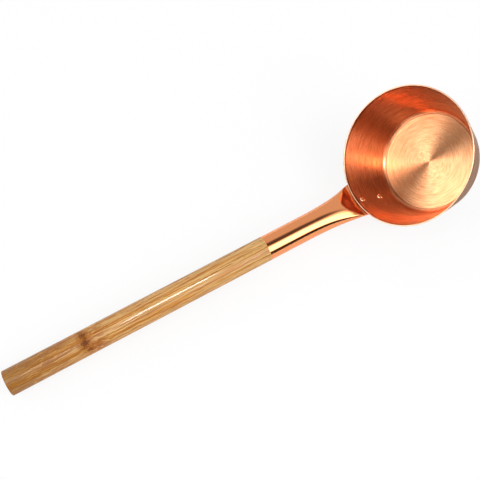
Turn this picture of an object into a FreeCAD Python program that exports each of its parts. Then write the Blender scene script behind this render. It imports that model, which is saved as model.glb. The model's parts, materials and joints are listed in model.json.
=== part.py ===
import FreeCAD, Part
import Sketcher

import math
import os

from FreeCAD import Placement, Rotation, Vector

# Ladle with a drawn sheet-metal bowl, a formed tube riveted to its wall and a bamboo grip.
# Every piece is drawn in the bowl's own frame: Z is the bowl's axis, the underside of its base
# is at zero and the handle points to -X. One placement then lays the whole ladle down as it
# rests, on the bowl's bottom corner and the end of the grip, with the origin on the surface
# that it lies on, below the middle of its box.

os.makedirs("parts", exist_ok=True)
document = FreeCAD.newDocument("Ladle")

# Driving dimensions, in millimetres and degrees
SIZES = (
    ("rim_diameter", 114.0, "bowl, outside at the rim"),
    ("base_diameter", 87.4, "bowl, outside at the base, as if its corner were sharp"),
    ("bowl_height", 47.5, "from the underside of the base to the rim"),
    ("sheet_thickness", 1.0, "sheet that the bowl is drawn from"),
    ("base_corner_radius", 5.0, "outside of the corner between base and wall"),
    ("rim_rounding", 0.3, "both edges of the rim"),
    ("handle_rise", 41.0, "angle of the handle's axis above the plane of the rim"),
    ("bend_below_rim", 0.5, "down the wall, from the rim to where the handle's axis meets the plate"),
    ("bend_radius", 12.0, "middle of the sheet where the tube bends down onto the wall"),
    ("tube_diameter", 21.0, "outside of the handle's tube"),
    ("tube_wall", 1.0, "wall of the tube"),
    ("socket_length", 86.0, "along the axis, from the bend to the open end of the tube"),
    ("flatten_length", 58.0, "along the axis, where the tube goes over from round to flat"),
    ("bow_length", 20.0, "along the axis, where the curve of the bowl fades out of the tube"),
    ("closed_length", 1.0, "from the bend up the axis, where the two walls lie on each other"),
    ("plate_length", 37.5, "from the bend down to the tip of the plate"),
    ("plate_gap", 0.05, "between the plate and the bowl's wall"),
    ("grip_diameter", 21.0, "bamboo, outside"),
    ("grip_length", 228.5, "bamboo that shows, from the tube to its end"),
    ("grip_end_rounding", 1.0, "edge of the grip's free end"),
    ("tenon_length", 24.0, "bamboo inside the tube"),
    ("tenon_clearance", 0.05, "all round between the tenon and the tube"),
    ("rivet_diameter", 3.0, "shank of a rivet, and its holes"),
    ("rivet_head_diameter", 5.2, "both heads of a rivet"),
    ("rivet_head_height", 1.0, "both heads of a rivet"),
    ("upper_rivet_drop", 8.0, "down the wall, from the rim to the upper rivet"),
    ("rivet_spacing", 22.5, "down the wall, between the two rivets"),
)

sheet = document.addObject("Spreadsheet::Sheet", "Sizes")
for row, (alias, value, note) in enumerate(SIZES, start=1):
    sheet.set(f"A{row}", note)
    sheet.set(f"B{row}", str(value))
    sheet.setAlias(f"B{row}", alias)
document.recompute()


def size(alias):
    return float(getattr(sheet, alias))


# Values that follow from the driving dimensions, in the bowl's frame
rim_radius = size("rim_diameter") / 2
base_radius = size("base_diameter") / 2
taper = math.atan2(rim_radius - base_radius, size("bowl_height"))
rise = math.radians(size("handle_rise"))
bend_turn = math.pi / 2 - taper - rise
bend_tangent = size("bend_radius") * math.tan(bend_turn / 2)
plate_thickness = 2 * size("tube_wall")

down_wall = Vector(math.sin(taper), 0, -math.cos(taper))
into_bowl = Vector(math.cos(taper), 0, math.sin(taper))
up_handle = Vector(-math.cos(rise), 0, math.sin(rise))
above_handle = Vector(math.sin(rise), 0, math.cos(rise))

rim_edge = Vector(-rim_radius, 0, size("bowl_height"))
plate_middle = size("plate_gap") + plate_thickness / 2
bend_corner = rim_edge - into_bowl * plate_middle + down_wall * size("bend_below_rim")
rivet_drops = (size("upper_rivet_drop"), size("upper_rivet_drop") + size("rivet_spacing"))


def wall_radius(drop):
    """Radius of curvature of the bowl's outer wall, across its slope, at a distance below the rim."""
    return (rim_radius - drop * math.sin(taper)) / math.cos(taper)


def pressed_width(thickness):
    """Width of the tube when it is pressed to a thickness, with the way round it unchanged."""
    return thickness + math.pi * (size("tube_diameter") - thickness) / 2


def resting_placement():
    """Lays the ladle on its bottom corner and grip end, with the box's bottom middle at zero."""
    corner = size("base_corner_radius")
    corner_ring = base_radius - corner / math.tan((math.pi / 2 + taper) / 2)
    near_corner = Vector(-corner_ring, 0, corner) - bend_corner
    rounding = size("grip_end_rounding")
    end_along = size("socket_length") + size("grip_length") - rounding
    end_below = size("grip_diameter") / 2 - rounding
    along = end_along - near_corner.dot(up_handle)
    below = end_below + near_corner.dot(above_handle)
    slope = math.asin((rounding - corner) / -math.hypot(along, below)) - math.atan2(below, along)
    tilt = rise + slope
    turn = Rotation(Vector(0, 1, 0), -math.degrees(tilt))
    floor = turn.multVec(Vector(-corner_ring, 0, corner)).z - corner
    bowl_side = turn.multVec(Vector(corner_ring, 0, corner)).x + corner
    end_middle = bend_corner + up_handle * end_along + above_handle * end_below
    grip_side = turn.multVec(end_middle).x - rounding
    return Placement(Vector(-(bowl_side + grip_side) / 2, 0, -floor), turn)


resting = resting_placement()


def origin_plane(body, role):
    return next(feature for feature in body.Origin.OriginFeatures if feature.Role == role)


def add_sketch(body, name, role="XZ_Plane"):
    sketch = body.newObject("Sketcher::SketchObject", name)
    sketch.AttachmentSupport = [(origin_plane(body, role), "")]
    sketch.MapMode = "FlatFace"
    return sketch


def add_outline(sketch, points):
    """Closed run of straight lines, each tied to the next one."""
    count = len(points)
    for index, point in enumerate(points):
        following = points[(index + 1) % count]
        sketch.addGeometry(Part.LineSegment(Vector(*point, 0), Vector(*following, 0)), False)
    for index in range(count):
        tie(sketch, "Coincident", index, 2, (index + 1) % count, 1)


def tie(sketch, kind, *references):
    return sketch.addConstraint(Sketcher.Constraint(kind, *references))


def bind(sketch, name, expression, kind, *references):
    """Dimension of a sketch that follows the sheet."""
    index = tie(sketch, kind, *references, float(sketch.evalExpression(expression)))
    sketch.renameConstraint(index, name)
    sketch.setExpression(f"Constraints.{name}", expression)


def revolve(body, sketch, name):
    feature = body.newObject("PartDesign::Revolution", name)
    feature.Profile = sketch
    feature.ReferenceAxis = (sketch, ["V_Axis"])
    feature.Angle = 360
    sketch.Visibility = False
    document.recompute()
    return feature


def round_edges(body, base, name, expression, wanted):
    """Fillet on the edges of a revolved base that pass the test, which gets radius and height."""
    names = []
    for index, edge in enumerate(base.Shape.Edges, start=1):
        if isinstance(edge.Curve, Part.Circle) and wanted(edge.Curve.Radius, edge.Curve.Center.z):
            names.append(f"Edge{index}")
    feature = body.newObject("PartDesign::Fillet", name)
    feature.Base = (base, names)
    feature.setExpression("Radius", expression)
    document.recompute()
    return feature


def make_bowl():
    """Drawn bowl with a flat base, a straight flaring wall and a plain cut rim."""
    body = document.addObject("PartDesign::Body", "Bowl")
    body.Label = "bowl"
    height = size("bowl_height")
    sheet_thickness = size("sheet_thickness")
    slant = sheet_thickness / math.cos(taper)
    inner_base = base_radius + sheet_thickness * math.tan(taper) - slant
    outline = add_sketch(body, "BowlOutline")
    add_outline(outline, (
        (0, 0),
        (base_radius, 0),
        (rim_radius, height),
        (rim_radius - slant, height),
        (inner_base, sheet_thickness),
        (0, sheet_thickness),
    ))
    underside, outer_wall, rim, inner_wall, inner_floor, axis = range(6)
    tie(outline, "Coincident", underside, 1, -1, 1)
    tie(outline, "Horizontal", underside)
    tie(outline, "Horizontal", rim)
    tie(outline, "Horizontal", inner_floor)
    tie(outline, "Vertical", axis)
    tie(outline, "Parallel", outer_wall, inner_wall)
    bind(outline, "base_radius", "Sizes.base_diameter / 2", "DistanceX", -1, 1, underside, 2)
    bind(outline, "rim_radius", "Sizes.rim_diameter / 2", "DistanceX", -1, 1, outer_wall, 2)
    bind(outline, "height", "Sizes.bowl_height", "DistanceY", -1, 1, outer_wall, 2)
    bind(outline, "floor", "Sizes.sheet_thickness", "DistanceY", -1, 1, inner_floor, 1)
    bind(outline, "wall", "Sizes.sheet_thickness", "Distance", inner_wall, 1, outer_wall)
    turned = revolve(body, outline, "Turned")
    outside = round_edges(
        body, turned, "OuterCorner", "Sizes.base_corner_radius",
        lambda radius, level: level < sheet_thickness / 2,
    )
    inside = round_edges(
        body, outside, "InnerCorner", "Sizes.base_corner_radius - Sizes.sheet_thickness",
        lambda radius, level: abs(level - sheet_thickness) < sheet_thickness / 4
        and abs(radius - inner_base) < sheet_thickness / 4,
    )
    round_edges(
        body, inside, "RimEdges", "Sizes.rim_rounding",
        lambda radius, level: level > height - sheet_thickness / 4,
    )
    holes = add_sketch(body, "RivetHoles", "YZ_Plane")
    holes.AttachmentOffset = Placement(
        Vector(0, rim_edge.z, rim_edge.x), Rotation(Vector(1, 0, 0), -math.degrees(taper))
    )
    for index, drop in enumerate(rivet_drops):
        circle = Part.Circle(Vector(0, -drop, 0), Vector(0, 0, 1), size("rivet_diameter") / 2)
        holes.addGeometry(circle, False)
        tie(holes, "PointOnObject", index, 3, -2)
        bind(holes, f"hole_{index}", "Sizes.rivet_diameter / 2", "Radius", index)
    bind(holes, "upper_drop", "Sizes.upper_rivet_drop", "DistanceY", 0, 3, -1, 1)
    bind(holes, "spacing", "Sizes.rivet_spacing", "DistanceY", 1, 3, 0, 3)
    pocket = body.newObject("PartDesign::Pocket", "RivetHolePocket")
    pocket.Profile = holes
    pocket.Midplane = True
    pocket.setExpression("Length", "Sizes.sheet_thickness * 4")
    document.recompute()
    body.Placement = resting
    return body


def flatness(distance):
    """How far the tube is pressed flat at a distance up the axis from the bend: 0 round, 1 flat."""
    return min(max(1 - distance / size("flatten_length"), 0), 1) ** 3


def centre_line(travel):
    """Point, upward normal and curve radius of the bowl beside the tube's centre line.

    The travel starts at the tube's open end. The line runs straight to the bend, round it and
    then straight down the bowl's wall.
    """
    straight = size("socket_length") - bend_tangent
    if travel <= straight:
        point = bend_corner + up_handle * (size("socket_length") - travel)
        return point, above_handle, wall_radius(0)
    turned = min((travel - straight) / size("bend_radius"), bend_turn)
    start = bend_corner + up_handle * bend_tangent
    centre = start - above_handle * size("bend_radius")
    normal = Rotation(Vector(0, 1, 0), math.degrees(turned)).multVec(above_handle)
    point = centre + normal * size("bend_radius")
    beyond = travel - straight - size("bend_radius") * turned
    drop = size("bend_below_rim") + bend_tangent + beyond
    return point + down_wall * beyond, normal, wall_radius(drop)


def tube_section(travel, inset):
    """Closed run of four arcs round the tube, drawn inward by the inset.

    A round tube has four equal arcs. As it is pressed flat, the two side arcs tighten and reach
    further round, the upper and lower ones straighten, and the way round stays the same. Near
    the bowl the section is bowed to follow the wall.
    """
    distance = max(size("socket_length") - travel, 0)
    pressed = flatness(distance)
    point, normal, bowl_radius = centre_line(travel)
    thickness = size("tube_diameter") + (plate_thickness - size("tube_diameter")) * pressed
    width = pressed_width(thickness)
    bow = min(max(1 - distance / size("bow_length"), 0), 1) ** 2
    fullness = math.tan(math.pi / 8) * (1 - pressed)
    side_radius = (thickness - fullness * width) / 2 / (1 - fullness)
    side_reach = math.pi / 2 - 2 * math.atan(fullness)
    joint_side = width / 2 - side_radius + (side_radius - inset) * math.cos(side_reach)
    joint_level = (side_radius - inset) * math.sin(side_reach)
    round_section = (
        (width / 2 - inset, 0),
        (joint_side, joint_level),
        (0, thickness / 2 - inset),
        (-joint_side, joint_level),
        (inset - width / 2, 0),
        (-joint_side, -joint_level),
        (0, inset - thickness / 2),
        (joint_side, -joint_level),
    )
    places = []
    for side, level in round_section:
        sag = bowl_radius - math.sqrt(bowl_radius ** 2 - side ** 2)
        places.append(point + Vector(0, side, 0) + normal * (level + bow * sag))
    edges = []
    for start in (1, 3, 5, 7):
        arc = Part.Arc(places[start], places[(start + 1) % 8], places[(start + 2) % 8])
        edges.append(arc.toShape())
    return Part.Wire(edges)


def spread(start, end, steps):
    """Even places from just past the start up to the end."""
    return [start + (end - start) * index / steps for index in range(1, steps + 1)]


def make_socket():
    """One piece of tube: round over the tenon, pressed flat and bent down onto the bowl's wall."""
    flattening_steps = 16
    bending_steps = 4
    length = size("socket_length")
    round_end = length - size("flatten_length")
    bend_start = length - bend_tangent
    bend_end = bend_start + size("bend_radius") * bend_turn
    plate_end = bend_end + size("plate_length") - bend_tangent
    closed = length - size("closed_length")
    outer = [0, round_end] + spread(round_end, bend_start, flattening_steps)
    outer += spread(bend_start, bend_end, bending_steps) + [plate_end]
    inner = [0, round_end] + spread(round_end, closed, flattening_steps)
    as_solid = True
    ruled = True
    solid = Part.makeLoft([tube_section(travel, 0) for travel in outer], as_solid, ruled)
    hollow = [tube_section(travel, size("tube_wall")) for travel in inner]
    solid = solid.cut(Part.makeLoft(hollow, as_solid, ruled))

    # Round tip of the plate: what lies outside a circle as wide as the plate is taken off
    tip_radius = pressed_width(plate_thickness) / 2
    tip_centre = bend_corner + down_wall * (size("plate_length") - tip_radius)
    reach = 2 * tip_radius
    blank = Part.makeBox(2 * reach, reach, 2 * reach, Vector(-reach, 0, -reach))
    blank = blank.cut(Part.makeCylinder(tip_radius, 2 * reach, Vector(0, 0, -reach)))
    blank.Placement = Placement(tip_centre, Rotation(Vector(0, 1, 0), down_wall, into_bowl, "ZYX"))
    solid = solid.cut(blank)

    for drop in rivet_drops:
        middle = rim_edge + down_wall * drop - into_bowl * plate_middle
        start = middle - into_bowl * plate_thickness
        hole_length = 2 * plate_thickness
        hole = Part.makeCylinder(size("rivet_diameter") / 2, hole_length, start, into_bowl)
        solid = solid.cut(hole)
    piece = document.addObject("Part::Feature", "HandleSocket")
    piece.Label = "handle_socket"
    piece.Shape = solid
    piece.Placement = resting
    return piece


def make_grip():
    """Turned bamboo stick, with a tenon glued into the tube and a shoulder against its end."""
    body = document.addObject("PartDesign::Body", "Grip")
    body.Label = "bamboo_grip"
    tenon_radius = size("tube_diameter") / 2 - size("tube_wall") - size("tenon_clearance")
    grip_radius = size("grip_diameter") / 2
    outline = add_sketch(body, "GripOutline")
    add_outline(outline, (
        (0, -size("tenon_length")),
        (tenon_radius, -size("tenon_length")),
        (tenon_radius, 0),
        (grip_radius, 0),
        (grip_radius, size("grip_length")),
        (0, size("grip_length")),
    ))
    tenon_end, tenon_side, shoulder, side, end, axis = range(6)
    for line in (tenon_end, shoulder, end):
        tie(outline, "Horizontal", line)
    for line in (tenon_side, side, axis):
        tie(outline, "Vertical", line)
    tie(outline, "PointOnObject", axis, 1, -2)
    tie(outline, "PointOnObject", shoulder, 1, -1)
    tenon = "Sizes.tube_diameter / 2 - Sizes.tube_wall - Sizes.tenon_clearance"
    bind(outline, "tenon_radius", tenon, "DistanceX", -1, 1, tenon_end, 2)
    bind(outline, "tenon_length", "Sizes.tenon_length", "DistanceY", tenon_side, 1, tenon_side, 2)
    bind(outline, "grip_radius", "Sizes.grip_diameter / 2", "DistanceX", -1, 1, shoulder, 2)
    bind(outline, "grip_length", "Sizes.grip_length", "DistanceY", side, 1, side, 2)
    turned = revolve(body, outline, "Turned")
    round_edges(
        body, turned, "FreeEnd", "Sizes.grip_end_rounding",
        lambda radius, level: level > size("grip_length") / 2,
    )
    turn = Rotation(Vector(0, 0, 1), up_handle)
    body.Placement = resting * Placement(bend_corner + up_handle * size("socket_length"), turn)
    return body


def make_rivet(label, drop):
    """Set rivet through wall and plate, with a low domed head at both ends.

    Its Z points into the bowl, from zero on the inner wall. The inner head's edge touches the
    hollow wall, so its face stands off by the wall's curve.
    """
    body = document.addObject("PartDesign::Body", label)
    body.Label = label
    shank_radius = size("rivet_diameter") / 2
    head_radius = size("rivet_head_diameter") / 2
    height = size("rivet_head_height")
    clamped = size("sheet_thickness") + size("plate_gap") + plate_thickness
    inner_curve = wall_radius(drop) - size("sheet_thickness")
    seat = inner_curve - math.sqrt(inner_curve ** 2 - head_radius ** 2)
    dome_radius = (head_radius ** 2 + height ** 2) / (2 * height)
    half_dome = math.asin(head_radius / dome_radius)
    quarter = math.pi / 2
    inner_ball = Part.Circle(Vector(0, seat + height - dome_radius, 0), Vector(0, 0, 1), dome_radius)
    outer_ball = Part.Circle(Vector(0, dome_radius - clamped - height, 0), Vector(0, 0, 1), dome_radius)

    outline = add_sketch(body, label + "_outline")
    inner_face, side, outer_face, outer_dome, axis, inner_dome = range(6)
    for shape in (
        Part.LineSegment(Vector(head_radius, seat, 0), Vector(shank_radius, seat, 0)),
        Part.LineSegment(Vector(shank_radius, seat, 0), Vector(shank_radius, -clamped, 0)),
        Part.LineSegment(Vector(shank_radius, -clamped, 0), Vector(head_radius, -clamped, 0)),
        Part.ArcOfCircle(outer_ball, -quarter, half_dome - quarter),
        Part.LineSegment(Vector(0, -clamped - height, 0), Vector(0, seat + height, 0)),
        Part.ArcOfCircle(inner_ball, quarter - half_dome, quarter),
    ):
        outline.addGeometry(shape, False)
    tie(outline, "Coincident", inner_face, 2, side, 1)
    tie(outline, "Coincident", side, 2, outer_face, 1)
    tie(outline, "Coincident", outer_face, 2, outer_dome, 2)
    tie(outline, "Coincident", outer_dome, 1, axis, 1)
    tie(outline, "Coincident", axis, 2, inner_dome, 2)
    tie(outline, "Coincident", inner_dome, 1, inner_face, 1)
    tie(outline, "Horizontal", inner_face)
    tie(outline, "Horizontal", outer_face)
    tie(outline, "Vertical", side)
    tie(outline, "PointOnObject", axis, 1, -2)
    for dome in (outer_dome, inner_dome):
        tie(outline, "PointOnObject", dome, 3, -2)
    tie(outline, "PointOnObject", axis, 2, -2)
    through = "Sizes.sheet_thickness + Sizes.plate_gap + 2 * Sizes.tube_wall"
    bind(outline, "shank_radius", "Sizes.rivet_diameter / 2", "DistanceX", -1, 1, side, 1)
    bind(outline, "inner_radius", "Sizes.rivet_head_diameter / 2", "DistanceX", -1, 1, inner_face, 1)
    bind(outline, "outer_radius", "Sizes.rivet_head_diameter / 2", "DistanceX", -1, 1, outer_face, 2)
    bind(outline, "clamped", through, "DistanceY", side, 2, -1, 1)
    bind(outline, "outer_height", "Sizes.rivet_head_height", "DistanceY", axis, 1, side, 2)
    bind(outline, "inner_height", "Sizes.rivet_head_height", "DistanceY", side, 1, axis, 2)
    tie(outline, "DistanceY", -1, 1, side, 1, seat)
    revolve(body, outline, label + "_turned")
    place = rim_edge + down_wall * drop + into_bowl * size("sheet_thickness")
    body.Placement = resting * Placement(place, Rotation(Vector(0, 0, 1), into_bowl))
    return body


pieces = [make_bowl(), make_socket(), make_grip()]
for label, drop in zip(("rivet_upper", "rivet_lower"), rivet_drops):
    pieces.append(make_rivet(label, drop))
document.recompute()

failed = [item.Name for item in document.Objects if {"Invalid", "Error"} & set(item.State)]
if failed:
    raise RuntimeError("failed: " + ", ".join(failed))
for piece in pieces:
    if piece.Shape.isNull() or not piece.Shape.isValid():
        raise RuntimeError("bad shape: " + piece.Label)
for piece in pieces:
    piece.Shape.exportStep(f"parts/{piece.Label}.step")
    box = piece.Shape.BoundBox
    print(
        f"{piece.Label}: {piece.Shape.Volume:.1f} mm3, {len(piece.Shape.Solids)} solid,",
        f"x {box.XMin:.1f} to {box.XMax:.1f}, y {box.YMin:.1f} to {box.YMax:.1f},",
        f"z {box.ZMin:.2f} to {box.ZMax:.2f}",
    )
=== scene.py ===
import json
import math

import bmesh
import bpy
from mathutils import Matrix, Vector


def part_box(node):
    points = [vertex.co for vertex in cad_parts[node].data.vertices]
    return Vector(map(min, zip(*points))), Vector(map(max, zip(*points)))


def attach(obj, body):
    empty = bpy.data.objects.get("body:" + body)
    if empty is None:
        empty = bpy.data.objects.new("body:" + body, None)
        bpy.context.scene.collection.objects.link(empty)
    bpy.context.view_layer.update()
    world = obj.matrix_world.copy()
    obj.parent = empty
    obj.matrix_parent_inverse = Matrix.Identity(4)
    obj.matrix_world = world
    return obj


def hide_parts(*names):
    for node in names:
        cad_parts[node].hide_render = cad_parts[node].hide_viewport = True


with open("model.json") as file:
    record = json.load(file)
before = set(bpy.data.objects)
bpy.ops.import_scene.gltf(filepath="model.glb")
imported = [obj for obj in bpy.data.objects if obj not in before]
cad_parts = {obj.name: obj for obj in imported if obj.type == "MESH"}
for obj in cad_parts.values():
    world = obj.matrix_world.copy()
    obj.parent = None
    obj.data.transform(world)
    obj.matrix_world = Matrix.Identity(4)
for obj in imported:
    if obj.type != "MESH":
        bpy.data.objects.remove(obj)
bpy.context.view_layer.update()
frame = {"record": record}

bl_info = {
    "name": "Sauna ladle",
    "version": (1, 0, 0),
    "blender": (4, 5, 0),
    "location": "View3D > Sidebar > Sauna ladle",
    "description": "Copper ladle with a bamboo grip, and the plain studio that it lies in",
    "category": "Add Mesh",
}

BODY = "root"

# The ladle's own frame: the origin is the middle of the bowl's underside, Z runs up the bowl's
# axis, and the handle leaves towards -X. The mount on the underside gives it in the room.
MOUNT = frame["record"]["mounts"][0]
BOWL_AXIS = -Vector(MOUNT["axis"])
BOWL_FORWARD = Vector((BOWL_AXIS.z, 0, -BOWL_AXIS.x))


def standing_frame(origin, forward, upward):
    """Matrix of a frame with its X axis forward and its Z axis upward, in the room."""
    side = upward.cross(forward)
    columns = Matrix((forward, side, upward)).transposed().to_4x4()
    return Matrix.Translation(origin) @ columns


LADLE_FRAME = standing_frame(Vector(MOUNT["pos_m"]), BOWL_FORWARD, BOWL_AXIS)

GRIP_LOW, GRIP_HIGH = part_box("bamboo_grip")
GRIP_WIDTH = GRIP_HIGH.y - GRIP_LOW.y


def length(name, description, default):
    """Property for a length in metres."""
    return bpy.props.FloatProperty(
        name=name, description=description, default=default, unit="LENGTH", precision=5
    )


def colour(name, description, default):
    """Property for the colour of a finish."""
    return bpy.props.FloatVectorProperty(
        name=name, description=description, default=default, subtype="COLOR", min=0, max=1
    )


class LadleSizes(bpy.types.PropertyGroup):
    """Sizes of the ladle's pieces."""

    rim_diameter: length("Rim", "Outer width of the bowl at its rim", 0.114)
    base_diameter: length("Base", "Width of the bowl where wall and base would meet", 0.0874)
    bowl_height: length("Bowl height", "Height of the bowl from its underside", 0.0475)
    sheet_thickness: length("Sheet", "Thickness of the bowl's sheet", 0.001)
    base_rounding: length("Base rounding", "Radius of the bowl's outer base corner", 0.005)
    rim_rounding: length("Rim rounding", "Radius of the rim's two edges", 0.0003)
    handle_rise: bpy.props.FloatProperty(
        name="Handle rise", description="Angle of the handle above the plane of the base",
        default=math.radians(41), subtype="ANGLE",
    )
    bend_below_rim: length("Bend below rim", "Drop of the handle's bend below the rim", 0.0005)
    bend_radius: length("Bend radius", "Radius of the bend onto the bowl's wall", 0.012)
    tube_diameter: length("Tube", "Diameter of the copper tube at the grip", GRIP_WIDTH)
    tube_wall: length("Tube wall", "Thickness of the copper tube's wall", 0.001)
    tube_length: length("Tube length", "Length of the copper tube up to its bend", 0.086)
    flatten_length: length("Flattening", "Length over which the tube is pressed flat", 0.058)
    bow_length: length("Bowing", "Length over which the tube bows to the bowl's wall", 0.020)
    swell_length: length("Swelling", "Way before the bend where the tube starts to swell", 0.040)
    swell_rise: length("Swelling rise", "Rise of the tube's top before the hollow", 0.0017)
    hollow_length: length("Hollow", "Length of the hollow pressed into the tube's top", 0.0130)
    hollow_end: length("Hollow end", "Way before the bend where the hollow is flat", 0.0012)
    hollow_edge: length("Hollow edge", "Rounding of the hollow's arched edge", 0.0006)
    closed_length: length("Closed end", "Length before the bend where the tube is closed", 0.001)
    plate_length: length("Plate", "Length of the flat end on the bowl's wall", 0.0375)
    plate_gap: length("Plate gap", "Gap between the flat end and the bowl", 0.00005)
    grip_diameter: length("Grip", "Diameter of the bamboo grip", GRIP_WIDTH)
    grip_length: length("Grip length", "Length of the grip outside the tube", 0.2285)
    grip_rounding: length("Grip rounding", "Radius of the edge at the grip's end", 0.001)
    tenon_length: length("Tenon", "Length of the grip inside the tube", 0.024)
    tenon_gap: length("Tenon gap", "Gap round the tenon", 0.00005)
    tenon_rounding: length("Tenon rounding", "Radius of the tenon's edge", 0.0005)
    rivet_diameter: length("Rivet", "Diameter of a rivet's shank", 0.003)
    rivet_head: length("Rivet head", "Diameter of a rivet's head", 0.0052)
    rivet_rise: length("Rivet rise", "Height of a rivet's head", 0.001)
    rivet_drop: length("Rivet drop", "Way from the rim down the wall to the upper rivet", 0.008)
    rivet_spacing: length("Rivet spacing", "Way from one rivet to the other", 0.0225)


class LadleColours(bpy.types.PropertyGroup):
    """Colours of the ladle's finishes."""

    copper: colour("Copper", "Clean copper of the tube", (0.95, 0.355, 0.145))
    # The hollow's darker copper is painted shade in the pressed hollow
    copper_hollow_shade: colour("Hollow copper", "Darker copper of the tube's hollow", (0.58, 0.20, 0.115))
    copper_rivet: colour("Rivet copper", "Pale copper of the rivets", (0.96, 0.60, 0.40))
    # Painted shade and a painted reflection in the bowl: the wall's copper is deeper for the light bounced
    # between the walls, and the floor's is paler for the bright panel that it mirrors, over its own
    # brushing
    wall_copper_and_shade: colour("Wall copper", "Copper of the bowl's wall", (0.77, 0.31, 0.15))
    floor_copper_and_sheen: colour("Floor copper", "Paler copper of the bowl's floor", (0.95, 0.48, 0.24))
    copper_deep: colour("Deep copper", "Copper in the wall's brush lines", (0.54, 0.165, 0.062))
    floor_lines: colour("Floor lines", "Copper in the floor's brush lines", (0.72, 0.30, 0.12))
    # The outside's copper is a duller satin finish, and darker still as painted shade of the shadowed floor
    # that it mirrors
    copper_outside_and_shade: colour("Outside copper", "Duller copper of the bowl's outside", (0.44, 0.235, 0.13))
    # The rim's cut edge is bare metal, and paler still as a painted highlight along the rim
    copper_edge_and_highlight: colour("Edge copper", "Bare metal of the rim's cut edge", (0.92, 0.56, 0.36))
    # Colour of the painted shade in the corner round the floor and just under the rim
    copper_painted_shade: colour("Groove copper", "Lines beside the rim and round the floor", (0.22, 0.06, 0.025))
    bamboo: colour("Bamboo", "Main colour of the bamboo", (0.59, 0.335, 0.104))
    bamboo_pale: colour("Pale bamboo", "Palest bands of the bamboo", (0.72, 0.48, 0.205))
    bamboo_warm: colour("Warm bamboo", "Orange bands of the bamboo", (0.60, 0.255, 0.052))
    bamboo_fibre: colour("Bamboo fibre", "Brown fibres", (0.39, 0.145, 0.032))
    bamboo_flare: colour("Node fibre", "Brown fibres beside a node", (0.31, 0.09, 0.018))
    bamboo_end: colour("End bamboo", "Brown towards the grip's end", (0.25, 0.12, 0.026))
    bamboo_halo: colour("Knot halo", "Brown round the knots and at the end's edge", (0.36, 0.125, 0.026))
    bamboo_knot: colour("Bamboo knot", "Dark spots at a node", (0.16, 0.042, 0.010))


# Forms

# Edges sharper than this stay sharp, all others are shaded smooth
CREASE = math.radians(35)
# A point closer to the axis than this lies on it
ON_AXIS = 1e-7
# Keeps a division from having nothing below the line
TINY = 1e-9

# Points round a turned piece, and the longest run along its outline
BOWL_POINTS = 256
BOWL_RUN = 0.004
GRIP_POINTS = 128
GRIP_RUN = 0.006
RIVET_POINTS = 48
DOME_STEPS = 8

# A face of the bowl's outside looks down by at least this, and not towards the axis
LOOKS_DOWN = -0.01
LOOKS_INWARD = -1e-6

# How fast the tube is pressed, bowed, swollen and hollowed along it, as powers of the way
PRESS_POWER = 3
BOW_POWER = 2
SWELL_POWER = 1.3
HOLLOW_POWER = 1.08
# The hollow's edge is fully rounded after one third of the hollow's length
EDGE_GROWTH = 3
# Bulge of a quarter of a circle, as the tangent of a quarter of its angle
ROUND_FULLNESS = math.tan(math.pi / 8)
# The pressed tube's crown keeps at least this much of an arc
FLATTEST_CROWN = 0.001

# Points round a quarter of the tube, and the rings along each stretch of it
TUBE_QUARTER = 48
TUBE_POINTS = 4 * TUBE_QUARTER
PRESSED_RINGS = 48
HOLLOW_RINGS = 64
BEND_RINGS = 12
PLATE_RINGS = 4
TIP_RINGS = 16
INSIDE_RINGS = 32
# The close rings begin a little before the hollow, at this many of its lengths from the bend
HOLLOW_LEAD = 1.4
# Share of the flat end's width that is left where its round tip is closed
TIP_WIDTH = 0.12
# A face of the hollow leans down the handle by at least this cosine
HOLLOW_LEAN = 0.45


def flat_frame(origin, forward, upward):
    """Frame inside the ladle's own frame, as a matrix."""
    return standing_frame(origin, forward.normalized(), upward.normalized())


def steps_between(start, end, count):
    """Evenly spaced places after the start, up to the end."""
    return [start + (end - start) * step / count for step in range(1, count + 1)]


def share_left(way, reach):
    """1 at the start of a way, 0 from its reach on, and evenly less between."""
    return min(max(1 - way / reach, 0), 1)


def arch(radius, side):
    """Fall of a circle of a radius at a distance to the side of its top."""
    return radius - math.sqrt(radius ** 2 - side ** 2)


def rounded(corners, steps=6):
    """Points of an open outline in a plane, from (x, y, rounding) corners."""
    points = []
    last = len(corners) - 1
    for index, (x, y, rounding) in enumerate(corners):
        corner = Vector((x, y))
        if rounding == 0 or index in (0, last):
            points.append(corner)
            continue
        before = (Vector(corners[index - 1][:2]) - corner).normalized()
        after = (Vector(corners[index + 1][:2]) - corner).normalized()
        half = before.angle(after) / 2
        middle = corner + (before + after).normalized() * rounding / math.sin(half)
        reach = rounding / math.tan(half)
        start = corner + before * reach - middle
        end = corner + after * reach - middle
        sweep = start.angle_signed(end)
        for step in range(steps + 1):
            turn = Matrix.Rotation(-sweep * step / steps, 2)
            points.append(middle + turn @ start)
    return points


def subdivided(points, longest):
    """The outline with its long runs divided evenly."""
    out = [points[0]]
    for start, end in zip(points, points[1:]):
        pieces = max(1, math.ceil((end - start).length / longest))
        out += [start.lerp(end, share) for share in steps_between(0, 1, pieces)]
    return out


def ring_of_points(form, radius, height, count):
    """Vertices round the Z axis, or the one vertex on it."""
    if radius < ON_AXIS:
        return [form.verts.new((0, 0, height))]
    ring = []
    for step in range(count):
        angle = 2 * math.pi * step / count
        ring.append(form.verts.new((radius * math.cos(angle), radius * math.sin(angle), height)))
    return ring


def join_rings(form, rings, count):
    """Faces between each ring and the next."""
    for low, high in zip(rings, rings[1:]):
        for step in range(count):
            following = (step + 1) % count
            corners = [low[step % len(low)], low[following % len(low)]]
            corners += [high[following % len(high)], high[step % len(high)]]
            form.faces.new(dict.fromkeys(corners))


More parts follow.
